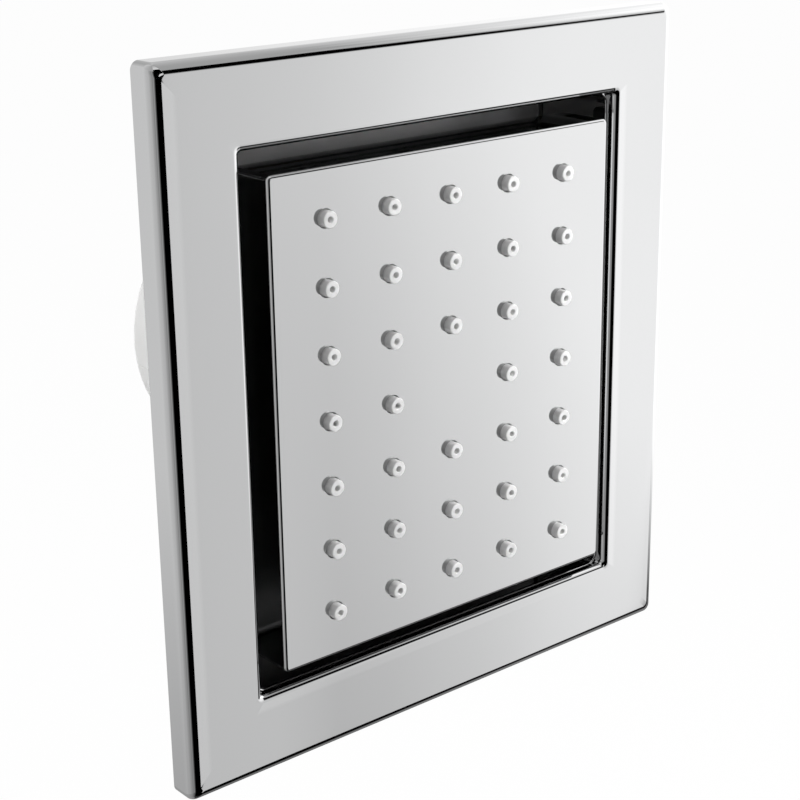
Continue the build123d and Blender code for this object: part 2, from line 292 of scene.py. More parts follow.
def turnedOutline(radiusAt, y, count=turnedCount):
    # outline about the depth axis; the radius is a number or follows the angle
    points = []
    for step in range(count):
        angle = 2 * math.pi * step / count
        radius = radiusAt(angle) if callable(radiusAt) else radiusAt
        points.append(Vector((radius * math.cos(angle), y, radius * math.sin(angle))))
    return points


def roundOutline(radius, y):
    spots = [2 * math.pi * (step + 0.5) / outlineCount for step in range(outlineCount)]
    return [Vector((radius * math.cos(a), y, radius * math.sin(a))) for a in spots]


def loftMesh(name, rings, closed=True, capFirst=False, capLast=False, paintedHighlight=None):
    # buff names the sides of a ring that get the painted highlight band; at the foot it fades to the right
    shell = bmesh.new()
    edge = shell.verts.layers.float.new("edgeBuff") if paintedHighlight else None
    rows = [[shell.verts.new(point) for point in ring] for ring in rings]
    for index, sides in (paintedHighlight or {}).items():
        ring = rings[index]
        left, right = min(point.x for point in ring), max(point.x for point in ring)
        foot = min(point.z for point in ring)
        for vert, point in zip(rows[index], ring):
            onSide = {"left": point.x - left < tiny, "right": right - point.x < tiny,
                      "foot": point.z - foot < tiny and point.x < 0}
            # 1 marks a vertex inside the painted highlight band
            vert[edge] = float(any(onSide[side] for side in sides))
    pairs = list(zip(rows, rows[1:])) + ([(rows[-1], rows[0])] if closed else [])
    for here, there in pairs:
        count = len(here)
        for k in range(count):
            shell.faces.new((here[k], here[(k + 1) % count], there[(k + 1) % count], there[k]))
    if capFirst:
        shell.faces.new(list(reversed(rows[0])))
    if capLast:
        shell.faces.new(rows[-1])
    bmesh.ops.remove_doubles(shell, verts=shell.verts, dist=tiny)
    bmesh.ops.recalc_face_normals(shell, faces=shell.faces)
    mesh = bpy.data.meshes.new(name)
    shell.to_mesh(mesh)
    shell.free()
    piece = bpy.data.objects.new(name, mesh)
    scene.collection.objects.link(piece)
    return piece


def plainMesh(piece):
    # the evaluated result as a plain mesh, with no modifier left
    graph = bpy.context.evaluated_depsgraph_get()
    graph.update()
    mesh = bpy.data.meshes.new_from_object(piece.evaluated_get(graph))
    old = piece.data
    piece.modifiers.clear()
    piece.data = mesh
    mesh.name = piece.name
    bpy.data.meshes.remove(old)


def smoothShell(piece, angle=sharpAngle):
    piece.data.shade_smooth()
    piece.data.set_sharp_from_angle(angle=math.radians(angle))
    weighted = piece.modifiers.new("flatFaces", "WEIGHTED_NORMAL")
    weighted.keep_sharp = True
    plainMesh(piece)


def finishPiece(piece, body, slot, *nodes):
    if not piece.data.materials:
        piece.data.materials.append(materials[slotFinish[slot]])
    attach(piece, body)
    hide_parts(*nodes)


def arc(start, end, steps):
    return [math.radians(start + (end - start) * k / steps) for k in range(steps + 1)]


def turnedTube(name, outer, inner, start, end, edge):
    # a plain ring about the depth axis with its four edges broken
    profile = [(inner + edge, start), (outer - edge, start), (outer, start + edge), (outer, end - edge),
               (outer - edge, end), (inner + edge, end), (inner, end - edge), (inner, start + edge)]
    piece = loftMesh(name, [turnedOutline(radius, y, smallTurnedCount) for radius, y in profile])
    smoothShell(piece)
    return piece


# what repeats is placed by Geometry Nodes trees
def newTree(name, inputs):
    tree = bpy.data.node_groups.new(name, "GeometryNodeTree")
    tree.interface.new_socket("Geometry", in_out="INPUT", socket_type="NodeSocketGeometry")
    for label, kind in inputs:
        tree.interface.new_socket(label, in_out="INPUT", socket_type=kind)
    tree.interface.new_socket("Geometry", in_out="OUTPUT", socket_type="NodeSocketGeometry")
    return tree, addNode(tree, "NodeGroupInput"), addNode(tree, "NodeGroupOutput")


def runTree(piece, tree, values):
    modifier = piece.modifiers.new(tree.name, "NODES")
    modifier.node_group = tree
    for item in tree.interface.items_tree:
        if item.item_type == "SOCKET" and item.in_out == "INPUT" and item.name in values:
            modifier[item.identifier] = values[item.name]
    plainMesh(piece)


pieceInputs = [("Piece", "NodeSocketObject"), ("Finish", "NodeSocketMaterial")]
gridInputs = [("Columns", "NodeSocketInt"), ("Rows", "NodeSocketInt"), ("Pitch X", "NodeSocketFloat"),
              ("Pitch Z", "NodeSocketFloat"), ("Skip", "NodeSocketInt"), ("Depth", "NodeSocketFloat")]


def gridPoints(tree, entry):
    # grid in the XZ plane at a depth; the point with the index Skip is left out
    links = tree.links
    grid = addNode(tree, "GeometryNodeMeshGrid")
    for pitch, count, size, verts in (("Pitch X", "Columns", "Size X", "Vertices X"),
                                      ("Pitch Z", "Rows", "Size Y", "Vertices Y")):
        gaps = mathNode(tree, "SUBTRACT", entry.outputs[count], 1)
        links.new(mathNode(tree, "MULTIPLY", gaps, entry.outputs[pitch]), grid.inputs[size])
        links.new(entry.outputs[count], grid.inputs[verts])
    stand = addNode(tree, "GeometryNodeTransform")
    stand.inputs["Rotation"].default_value = (math.pi / 2, 0, 0)
    shift = addNode(tree, "ShaderNodeCombineXYZ")
    links.new(entry.outputs["Depth"], shift.inputs["Y"])
    links.new(shift.outputs["Vector"], stand.inputs["Translation"])
    links.new(grid.outputs["Mesh"], stand.inputs["Geometry"])
    index = addNode(tree, "GeometryNodeInputIndex")
    match = addNode(tree, "FunctionNodeCompare", data_type="INT", operation="EQUAL")
    links.new(index.outputs["Index"], match.inputs[2])
    links.new(entry.outputs["Skip"], match.inputs[3])
    drop = addNode(tree, "GeometryNodeDeleteGeometry", domain="POINT")
    links.new(stand.outputs["Geometry"], drop.inputs["Geometry"])
    links.new(match.outputs["Result"], drop.inputs["Selection"])
    return drop.outputs["Geometry"], None


def ringPoints(tree, entry):
    # Count places at the axis, each turned about it by an equal share from the angle Start
    links = tree.links
    line = addNode(tree, "GeometryNodeMeshLine")
    line.inputs["Offset"].default_value = (0, 0, 0)
    links.new(entry.outputs["Count"], line.inputs["Count"])
    index = addNode(tree, "GeometryNodeInputIndex")
    share = mathNode(tree, "DIVIDE", index.outputs["Index"], entry.outputs["Count"])
    turn = mathNode(tree, "ADD", mathNode(tree, "MULTIPLY", share, 2 * math.pi), entry.outputs["Start"])
    angle = addNode(tree, "ShaderNodeCombineXYZ")
    links.new(turn, angle.inputs["Y"])
    return line.outputs["Mesh"], angle.outputs["Vector"]


def endTree(tree, entry, leave, geometry):
    real = addNode(tree, "GeometryNodeRealizeInstances")
    finish = addNode(tree, "GeometryNodeSetMaterial")
    tree.links.new(geometry, real.inputs["Geometry"])
    tree.links.new(real.outputs["Geometry"], finish.inputs["Geometry"])
    tree.links.new(entry.outputs["Finish"], finish.inputs["Material"])
    tree.links.new(finish.outputs["Geometry"], leave.inputs["Geometry"])
    return tree


def placedTree(name, inputs, pointsOf):
    # the piece's own mesh plus a copy of another object at each place
    tree, entry, leave = newTree(name, inputs + pieceInputs)
    links = tree.links
    part = addNode(tree, "GeometryNodeObjectInfo", transform_space="ORIGINAL")
    links.new(entry.outputs["Piece"], part.inputs["Object"])
    place = addNode(tree, "GeometryNodeInstanceOnPoints")
    points, turns = pointsOf(tree, entry)
    links.new(points, place.inputs["Points"])
    if turns:
        links.new(turns, place.inputs["Rotation"])
    links.new(part.outputs["Geometry"], place.inputs["Instance"])
    join = addNode(tree, "GeometryNodeJoinGeometry")
    links.new(place.outputs["Instances"], join.inputs["Geometry"])
    links.new(entry.outputs["Geometry"], join.inputs["Geometry"])
    return endTree(tree, entry, leave, join.outputs["Geometry"])


def holeTree(name):
    # the piece's own mesh with a round hole cut at each grid place
    holeInputs = [("Radius", "NodeSocketFloat"), ("Length", "NodeSocketFloat")]
    tree, entry, leave = newTree(name, gridInputs + holeInputs + [("Finish", "NodeSocketMaterial")])
    links = tree.links
    bar = addNode(tree, "GeometryNodeMeshCylinder")
    bar.inputs["Vertices"].default_value = smallTurnedCount
    links.new(entry.outputs["Radius"], bar.inputs["Radius"])
    links.new(entry.outputs["Length"], bar.inputs["Depth"])
    lay = addNode(tree, "GeometryNodeTransform")
    lay.inputs["Rotation"].default_value = (math.pi / 2, 0, 0)
    links.new(bar.outputs["Mesh"], lay.inputs["Geometry"])
    place = addNode(tree, "GeometryNodeInstanceOnPoints")
    links.new(gridPoints(tree, entry)[0], place.inputs["Points"])
    links.new(lay.outputs["Geometry"], place.inputs["Instance"])
    real = addNode(tree, "GeometryNodeRealizeInstances")
    links.new(place.outputs["Instances"], real.inputs["Geometry"])
    cut = addNode(tree, "GeometryNodeMeshBoolean", operation="DIFFERENCE")
    links.new(entry.outputs["Geometry"], cut.inputs["Mesh 1"])
    links.new(real.outputs["Geometry"], cut.inputs["Mesh 2"])
    return endTree(tree, entry, leave, cut.outputs["Mesh"])


gridPieces = placedTree("gridPieces", gridInputs, gridPoints)
ringPieces = placedTree("ringPieces", [("Count", "NodeSocketInt"), ("Start", "NodeSocketFloat")], ringPoints)
gridHoles = holeTree("gridHoles")


def gridValues(columns, rows, pitchX, pitchZ, depth, skip=-1):
    return {"Columns": columns, "Rows": rows, "Pitch X": pitchX, "Pitch Z": pitchZ,
            "Depth": depth, "Skip": skip}


def fourCorners(spanX, spanZ, depth):
    return gridValues(2, 2, spanX, spanZ, depth)


def placePieces(piece, tree, form, finish, values):
    runTree(piece, tree, {**values, "Piece": form, "Finish": materials[finish]})
    bpy.data.objects.remove(form)


def cutHoles(piece, finish, radius, length, values):
    runTree(piece, gridHoles, {**values, "Radius": radius, "Length": length, "Finish": materials[finish]})


print("trees made")


# face frame: a hollow chrome border, rounded at its outer edge and at the lip round the recess
faceFrame = {
    "border": 15.85 * mm,
    "wall": 2.0 * mm,
    "corner": 1.6 * mm,
    "frontCorner": 0.9 * mm,  # the corner has this radius where the rounded edge meets the face
    "edgeRound": 2.1 * mm,
    "openingCorner": 0.8 * mm,
    "openingSpread": 0.3,  # growth of the opening's corner over the rounded lip
    "openingShift": 0.3 * mm,  # the opening sits this much to the right
    "openingNarrow": 0.2 * mm,
    "lipRound": 1.4 * mm,
    "backEdge": 0.15 * mm,
    "outerPaintedBand": 1.7 * mm,  # width of the painted highlight band beside the outer left edge
    "lipPaintedBand": 1.1 * mm,
    "paintedBandStep": 0.9 * mm,
    "roundSteps": 16,
    "bossInset": 8.5 * mm,
    "bossRadius": 3.2 * mm,
    "pilotRadius": 1.2 * mm,
    "bossBack": -2.2 * mm,
    "bossEdge": 0.2 * mm,
}


def makeFaceFrame(size):
    low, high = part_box("face_frame")
    halfX, halfZ, front = high.x, high.z, low.y
    edge, lip, wall = size["edgeRound"], size["lipRound"], size["wall"]
    rings, paintedHighlight = [], {}

    def outer(inset, y):
        share = min(inset / edge, 1)
        corner = size["corner"] + (size["frontCorner"] - size["corner"]) * share
        rings.append(rectOutline(halfX - inset, halfZ - inset, corner, y))

    def opening(out, y):
        inset = size["border"] - out
        corner = size["openingCorner"] + size["openingSpread"] * out
        outline = rectOutline(halfX - inset - size["openingNarrow"], halfZ - inset, corner, y)
        rings.append([point + Vector((size["openingShift"], 0, 0)) for point in outline])

    outer(size["backEdge"], high.y)
    outer(0, high.y - size["backEdge"])
    for angle in arc(0, 90, size["roundSteps"]):
        outer(edge * (1 - math.cos(angle)), front + edge * (1 - math.sin(angle)))
    # these rings carry the painted highlight: on the left beside the outer edge, on the right and the left of
    # the foot beside the lip
    paintedHighlight[len(rings) - 1] = ("left",)
    outer(edge + size["outerPaintedBand"], front)
    paintedHighlight[len(rings) - 1] = ("left",)
    outer(edge + size["outerPaintedBand"] + size["paintedBandStep"], front)
    opening(lip + size["lipPaintedBand"] + size["paintedBandStep"], front)
    opening(lip + size["lipPaintedBand"], front)
    paintedHighlight[len(rings) - 1] = ("right", "foot")
    paintedHighlight[len(rings)] = ("right", "foot")
    for angle in arc(0, 90, size["roundSteps"]):
        opening(lip * (1 - math.sin(angle)), front + lip * (1 - math.cos(angle)))
    opening(0, front + wall)
    for y in (front + wall, high.y):
        rings.append(rectOutline(halfX - wall, halfZ - wall, size["openingCorner"], y))
    piece = loftMesh("frame_shell", rings, paintedHighlight=paintedHighlight)
    smoothShell(piece)
    boss = turnedTube("frame_boss", size["bossRadius"], size["pilotRadius"], front + wall - size["bossEdge"],
                      size["bossBack"], size["bossEdge"])
    spread = [2 * (half - size["bossInset"]) for half in (halfX, halfZ)]
    placePieces(piece, gridPieces, boss, "chrome", fourCorners(*spread, 0))
    finishPiece(piece, "base", "chrome", "face_frame")


makeFaceFrame(faceFrame)
print("face frame made")


# recess pan: one drawn sheet with a flange, straight walls and a folded floor round a wide mouth
recessPan = {
    "sheet": 1.2 * mm,
    "inside": (43.75 * mm, 49.2 * mm),
    "corner": 2.2 * mm,
    "fold": 1.8 * mm,
    "rimRound": 0.3 * mm,
    "flangeFront": -2.2 * mm,
    "flangeBack": -1.2 * mm,
    "flangeCorner": 0.8 * mm,
    "mouth": 22.0 * mm,
    "foldSteps": 10,
    "rimSteps": 5,
    "flangeHole": 1.3 * mm,
    "floorHole": 1.7 * mm,
    "floorCircle": 33.0 * mm,
    "dullDepth": 0.5 * mm,  # the plating is dull from this close to the floor
}


def makeRecessPan(size):
    low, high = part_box("recess_pan")
    inX, inZ = size["inside"]
    sheet, corner, fold, rim = size["sheet"], size["corner"], size["fold"], size["rimRound"]
    rimDepth, floorBack = low.y, high.y
    floor = floorBack - sheet
    rings = []

    def wall(out, y):
        rings.append(rectOutline(inX + out, inZ + out, corner + out, y))

    rings.append(rectOutline(high.x, high.z, size["flangeCorner"], size["flangeBack"]))
    rings.append(rectOutline(high.x, high.z, size["flangeCorner"], size["flangeFront"]))
    wall(sheet, size["flangeFront"])
    wall(sheet, rimDepth)
    for angle in arc(0, 90, size["rimSteps"]):
        wall(rim * (1 - math.sin(angle)), rimDepth + rim * (1 - math.cos(angle)))
    for angle in arc(0, 90, size["foldSteps"]):
        wall(-fold * (1 - math.cos(angle)), floor - fold + fold * math.sin(angle))
    rings.append(roundOutline(size["mouth"], floor))
    rings.append(roundOutline(size["mouth"], floorBack))
    for angle in arc(90, 0, size["foldSteps"]):
        outerFold = fold + sheet
        wall(sheet - outerFold * (1 - math.cos(angle)), floorBack - outerFold + outerFold * math.sin(angle))
    wall(sheet, size["flangeBack"])
    piece = loftMesh("pan_shell", rings)
    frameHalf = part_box("face_frame")[1]
    spread = [2 * (half - faceFrame["bossInset"]) for half in (frameHalf.x, frameHalf.z)]
    cutHoles(piece, "chrome", size["flangeHole"], 2 * sheet, fourCorners(*spread, size["flangeBack"]))
    square = math.sqrt(2) * size["floorCircle"]
    cutHoles(piece, "chrome", size["floorHole"], 4 * sheet, fourCorners(square, square, floor))
    smoothShell(piece)
    dull = [float(vert.co.y > floor - size["dullDepth"]) for vert in piece.data.vertices]
    piece.data.attributes.new("thinPlating", "FLOAT", "POINT").data.foreach_set("value", dull)
    finishPiece(piece, "base", "chrome", "recess_pan")


makeRecessPan(recessPan)
print("recess pan made")


# spray head: a chrome tray with a hole for each nozzle, over one silicone mat
sprayHead = {
    "columns": 5,
    "rows": 7,
    "pitchX": 14.135 * mm,
    "pitchZ": 12.1233 * mm,
    "coverWall": 1.2 * mm,
    "coverCorner": 1.0 * mm,
    "coverEdge": 0.6 * mm,
    "cavityCorner": 0.8 * mm,
    "holeRadius": 1.75 * mm,
    "nozzleRadius": 1.5 * mm,
    "boreRadius": 0.55 * mm,
    "tipRound": 0.2 * mm,
    "tipSteps": 6,
    "boreChamfer": 0.1 * mm,
    "rootDepth": 1.6 * mm,  # how far a nozzle goes into the mat
    "matThickness": 2.0 * mm,
    "matEdge": 0.3 * mm,
    "edgeSteps": 8,
    "bossRadius": 2.2 * mm,
    "bossBore": 1.35 * mm,
    "bossHeight": 3.5 * mm,
    "bossInset": 2.4 * mm,
    "bossEdge": 0.12 * mm,
    "bossSpacing": 30.0 * mm,
}


def nozzleGrid(head, depth):
    middle = (head["columns"] * head["rows"]) // 2
    return gridValues(head["columns"], head["rows"], head["pitchX"], head["pitchZ"], depth, middle)


def makeSprayCover(head):
    low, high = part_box("spray_cover")
    halfX, halfZ, front = high.x, high.z, low.y
    wall, edge = head["coverWall"], head["coverEdge"]
    inside = front + wall
    rings = [rectOutline(halfX - wall, halfZ - wall, head["cavityCorner"], y) for y in (inside, high.y)]
    rings.append(rectOutline(halfX, halfZ, head["coverCorner"], high.y))
    for angle in arc(0, 90, head["edgeSteps"]):
        inset = edge * (1 - math.cos(angle))
        corner = head["coverCorner"] - inset
        rings.append(rectOutline(halfX - inset, halfZ - inset, corner, front + edge * (1 - math.sin(angle))))
    piece = loftMesh("cover_shell", rings, closed=False, capFirst=True, capLast=True)
    cutHoles(piece, "chrome", head["holeRadius"], 3 * wall, nozzleGrid(head, front + wall / 2))
    smoothShell(piece)
    boss = turnedTube("cover_boss", head["bossRadius"], head["bossBore"], inside - head["bossEdge"],
                      inside + head["bossHeight"], head["bossEdge"])
    across = 2 * (halfX - wall - head["bossInset"])
    placePieces(piece, gridPieces, boss, "chrome", gridValues(2, 3, across, head["bossSpacing"], 0))
    finishPiece(piece, "head", "chrome", "spray_cover")


def makeNozzleMat(head):
    low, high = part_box("nozzle_mat")
    matFront = high.y - head["matThickness"]
    reach = low.y - matFront
    radius, tip, deep = head["nozzleRadius"], head["tipRound"], head["rootDepth"]
    bore, chamfer = head["boreRadius"], head["boreChamfer"]
    profile = [(radius, deep)]
    for angle in arc(0, 90, head["tipSteps"]):
        profile.append((radius - tip * (1 - math.cos(angle)), reach + tip * (1 - math.sin(angle))))
    profile += [(bore + chamfer, reach), (bore, reach + chamfer), (bore, deep)]
    nozzle = loftMesh("nozzle_form", [turnedOutline(r, y, smallTurnedCount) for r, y in profile])
    smoothShell(nozzle)
    edge, corner = head["matEdge"], head["cavityCorner"]
    slab = [(edge, matFront), (0, matFront + edge), (0, high.y - edge), (edge, high.y)]
    rings = [rectOutline(high.x - inset, high.z - inset, corner, y) for inset, y in slab]
    piece = loftMesh("nozzle_field", rings, closed=False, capFirst=True, capLast=True)
    smoothShell(piece)
    placePieces(piece, gridPieces, nozzle, "silicone", nozzleGrid(head, matFront))
    finishPiece(piece, "head", "white_silicone", "nozzle_mat")


makeSprayCover(sprayHead)
makeNozzleMat(sprayHead)
print("spray head made")


# rear housing: a moulded cup with a screw flange, ribs and bosses
rearHousing = {
    "radius": 28.0 * mm,
    "wall": 2.5 * mm,
    "turnedCount": 144,
    "backRound": 2.0 * mm,
    "backSteps": 10,
    "innerRound": 1.2 * mm,
    "innerSteps": 6,
    "flange": 3.0 * mm,
    "flangeEdge": 0.5 * mm,
    "edgeSteps": 5,
    "rootRound": 0.8 * mm,
    "rootSteps": 6,
    "inletHole": 13.2 * mm,
    "ribCount": 8,
    "ribThickness": 2.4 * mm,
    "ribLength": 14.0 * mm,
    "ribEdge": 2.0 * mm,
    "ribBevel": 0.35 * mm,
    "bossRadius": 3.6 * mm,
    "bossBore": 1.6 * mm,
    "bossHeight": 6.0 * mm,
    "bossCircle": 33.0 * mm,
    "seamHeight": 0.08 * mm,  # parting line of the mould
    "seamWidth": 0.3 * mm,
    "seamTurn": -10.0,
}


def boxForm(name, corners, depth, bevel):
    # a flat outline in the XY plane given thickness along Z, with bevelled edges
    form = bmesh.new()
    rows = [[form.verts.new((x, y, side * depth / 2)) for x, y in corners] for side in (-1, 1)]
    form.faces.new(rows[0])
    form.faces.new(list(reversed(rows[1])))
    count = len(corners)
    for k in range(count):
        form.faces.new((rows[0][k], rows[1][k], rows[1][(k + 1) % count], rows[0][(k + 1) % count]))
    bmesh.ops.recalc_face_normals(form, faces=form.faces)
    if bevel:
        bmesh.ops.bevel(form, geom=form.edges[:], offset=bevel, segments=bevelSteps, profile=0.5,
                        affect="EDGES")
    mesh = bpy.data.meshes.new(name)
    form.to_mesh(mesh)
    form.free()
    piece = bpy.data.objects.new(name, mesh)
    scene.collection.objects.link(piece)
    smoothShell(piece)
    return piece


def makeRearHousing(size):
    low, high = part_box("rear_housing")
    front, back, flangeRadius = low.y, high.y, high.x
    radius, wall = size["radius"], size["wall"]
    flangeBack, edge, root = front + size["flange"], size["flangeEdge"], size["rootRound"]
    profile = [(radius - wall, front), (flangeRadius - edge, front), (flangeRadius, front + edge)]

    def roundOff(reach, depth, rounding, angles):
        # a quarter round in place of the corner at reach and depth
        for angle in angles:
            across, along = rounding * (1 - math.cos(angle)), rounding * (1 - math.sin(angle))
            profile.append((reach - across, depth - along))

    roundOff(flangeRadius, flangeBack, edge, arc(0, 90, size["edgeSteps"]))
    for angle in arc(0, 90, size["rootSteps"]):
        profile.append((radius + root * (1 - math.sin(angle)), flangeBack + root * (1 - math.cos(angle))))
    roundOff(radius, back, size["backRound"], arc(0, 90, size["backSteps"]))
    profile += [(size["inletHole"], back), (size["inletHole"], back - wall)]
    roundOff(radius - wall, back - wall, size["innerRound"], arc(90, 0, size["innerSteps"]))
    piece = loftMesh("housing_shell", [turnedOutline(r, y, size["turnedCount"]) for r, y in profile])
    smoothShell(piece)
    square = math.sqrt(2) * size["bossCircle"]
    cutHoles(piece, "whitePlastic", size["bossBore"], 2 * size["flange"],
             fourCorners(square, square, front + size["flange"] / 2))
    smoothShell(piece)
    rootX, tipX, start = radius - wall / 2, flangeRadius - size["ribEdge"], flangeBack - size["flange"] / 2
    corners = [(rootX, start), (tipX, start), (tipX, flangeBack), (rootX, flangeBack + size["ribLength"])]
    rib = boxForm("housing_rib", corners, size["ribThickness"], size["ribBevel"])
    placePieces(piece, ringPieces, rib, "whitePlastic", {"Count": size["ribCount"], "Start": 0.0})
    boss = turnedTube("housing_boss", size["bossRadius"], size["bossBore"], start,
                      flangeBack + size["bossHeight"], size["flangeEdge"])
    placePieces(piece, gridPieces, boss, "whitePlastic", fourCorners(square, square, 0))
    seamReach, seamEnd = radius + size["seamHeight"], back - size["backRound"]
    corners = [(rootX, flangeBack), (seamReach, flangeBack), (seamReach, seamEnd), (rootX, seamEnd)]
    seam = boxForm("housing_seam", corners, size["seamWidth"], 0)
    seamStart = math.radians(size["seamTurn"])
    placePieces(piece, ringPieces, seam, "whitePlastic", {"Count": 2, "Start": seamStart})
    finishPiece(piece, "base", "white_plastic", "rear_housing")


makeRearHousing(rearHousing)
print("rear housing made")


# inlet: a turned brass body with an outer and an inner pipe thread, its nut and washer
inlet = {
    "pitch": 1.814 * mm,
    "outerCrest": 13.0 * mm,
    "outerRoot": 11.9 * mm,
    "innerCrest": 9.3 * mm,
    "innerRoot": 10.4 * mm,
    "samplesPerTurn": 14,
    "threadFlat": 0.12,  # share of half a pitch that stays flat at crest and root
    "threadSharpAngle": 40,
    "threadStart": 57.0 * mm,
    "threadRunOut": 1.2 * mm,
    "innerThreadLength": 14.0 * mm,
    "endChamfer": 0.8 * mm,
    "noseRadius": 11.0 * mm,
    "collarHex": 32.0 * mm,
    "collarFront": 46.0 * mm,
    "collarBack": 54.2 * mm,
    "collarEdge": 0.4 * mm,
    "stemBore": 6.05 * mm,
    "stemEnd": 46.3 * mm,
    "waterBore": 4.5 * mm,
    "regulatorSeat": 51.6 * mm,
    "regulatorBore": 8.0 * mm,
    "socketDepth": 17.0 * mm,
    "nutHex": 34.0 * mm,
    "nutBore": 13.05 * mm,
    "nutChamfer": 1.2 * mm,
    "nutChamferSteps": 10,
    "nutEdge": 0.2 * mm,
    "washerBore": 13.2 * mm,
    "washerEdge": 0.2 * mm,
}


def hexRadius(acrossFlats, angle):
    # corners on the X axis
    sixth = math.pi / 3
    return acrossFlats / 2 / math.cos((angle % sixth) - sixth / 2)


def threadLevel(size, y, angle):
    # 0 at the crest, 1 at the root, with rounded tops and bottoms
    phase = (y / size["pitch"] - angle / (2 * math.pi)) % 1
    flat = size["threadFlat"]
    flank = min(max((abs(2 * phase - 1) - flat) / (1 - 2 * flat), 0), 1)
    return flank * flank * (3 - 2 * flank)


def threadRings(size, crest, root, start, end, runOut, limit):
    # limit gives the radius that the end's chamfer leaves at a depth
    steps = math.ceil(abs(end - start) / size["pitch"] * size["samplesPerTurn"])
    rings = []
    for k in range(steps + 1):
        y = start + (end - start) * k / steps
        depth = (root - crest) * min(1, abs(y - runOut[0]) / runOut[1])
        rings.append(turnedOutline(lambda angle: limit(crest + depth * threadLevel(size, y, angle), y), y))
    return rings


def makeInletBody(size):
    low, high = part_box("inlet_body")
    back, chamfer, edge = high.y, size["endChamfer"], size["collarEdge"]
    collarFront, collarBack = size["collarFront"], size["collarBack"]

    def collar(inset):
        return lambda angle: hexRadius(size["collarHex"], angle) - inset

    plain = [(size["stemBore"], low.y), (size["noseRadius"], low.y), (size["noseRadius"], collarFront),
             (collar(edge), collarFront), (collar(0), collarFront + edge), (collar(0), collarBack - edge),
             (collar(edge), collarBack), (size["outerCrest"], collarBack)]
    rings = [turnedOutline(radius, y) for radius, y in plain]
    rings += threadRings(size, size["outerCrest"], size["outerRoot"], size["threadStart"], back,
                         (size["threadStart"], size["threadRunOut"]),
                         lambda radius, y: min(radius, size["outerCrest"] - max(0, y - back + chamfer)))
    innerEnd = back - size["innerThreadLength"]
    rings += threadRings(size, size["innerCrest"], size["innerRoot"], back, innerEnd,
                         (innerEnd, size["threadRunOut"]),
                         lambda radius, y: max(radius, size["innerRoot"] - max(0, back - y)))
    socketEnd = back - size["socketDepth"]
    bores = [(size["innerCrest"], socketEnd), (size["regulatorBore"], socketEnd),
             (size["regulatorBore"], size["regulatorSeat"]), (size["waterBore"], size["regulatorSeat"]),
             (size["waterBore"], size["stemEnd"]), (size["stemBore"], size["stemEnd"])]
    rings += [turnedOutline(radius, y) for radius, y in bores]
    piece = loftMesh("inlet_shell", rings)
    smoothShell(piece, size["threadSharpAngle"])
    finishPiece(piece, "base", "inlet_brass", "inlet_body")


def makeLockNut(size):
    low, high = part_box("inlet_lock_nut")
    bore, edge, chamfer = size["nutBore"], size["nutEdge"], size["nutChamfer"]
    corner = size["nutHex"] / math.sqrt(3)

    def side(inset, cone):
        return lambda angle: min(hexRadius(size["nutHex"], angle) - inset, cone)

    rings = [turnedOutline(bore + edge, low.y), turnedOutline(side(edge, corner), low.y),
             turnedOutline(side(0, corner), low.y + edge)]
    for k in range(size["nutChamferSteps"] + 1):
        cut = chamfer * k / size["nutChamferSteps"]
        rings.append(turnedOutline(side(0, corner - cut), high.y - chamfer + cut))
    rings += [turnedOutline(bore + 2 * edge, high.y), turnedOutline(bore, high.y - 2 * edge),
              turnedOutline(bore, low.y + edge)]
    piece = loftMesh("nut_shell", rings)
    smoothShell(piece)
    finishPiece(piece, "base", "inlet_brass", "inlet_lock_nut")


def makeLockWasher(size):
    low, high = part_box("inlet_lock_washer")
    piece = turnedTube("washer_shell", high.x, size["washerBore"], low.y, high.y, size["washerEdge"])
    finishPiece(piece, "base", "screw_steel", "inlet_lock_washer")


makeInletBody(inlet)
makeLockNut(inlet)
makeLockWasher(inlet)
print("inlet made")


# stage: a pale floor, a white surround, three soft lamps, and panels that only the reflections see
stageSetup = {
    "floorDrop": 0.075,  # clear height under the piece
    "floorHalf": 6.0,
    "floorTone": 0.9,
    "floorWhite": 0.975,  # how much of the floor's look to the camera is plain white
    "surroundLight": 0.26,  # what the white surround gives as light
}
lamps = {
    "front_lamp": {"azimuth": 55, "elevation": 24, "distance": 0.27, "size": 0.14, "power": 0.72},
    "top_lamp": {"azimuth": 0, "elevation": 76, "distance": 0.6, "size": 0.3, "power": 0.55},
    "back_lamp": {"azimuth": -125, "elevation": 30, "distance": 0.7, "size": 0.4, "power": 2.4},
}
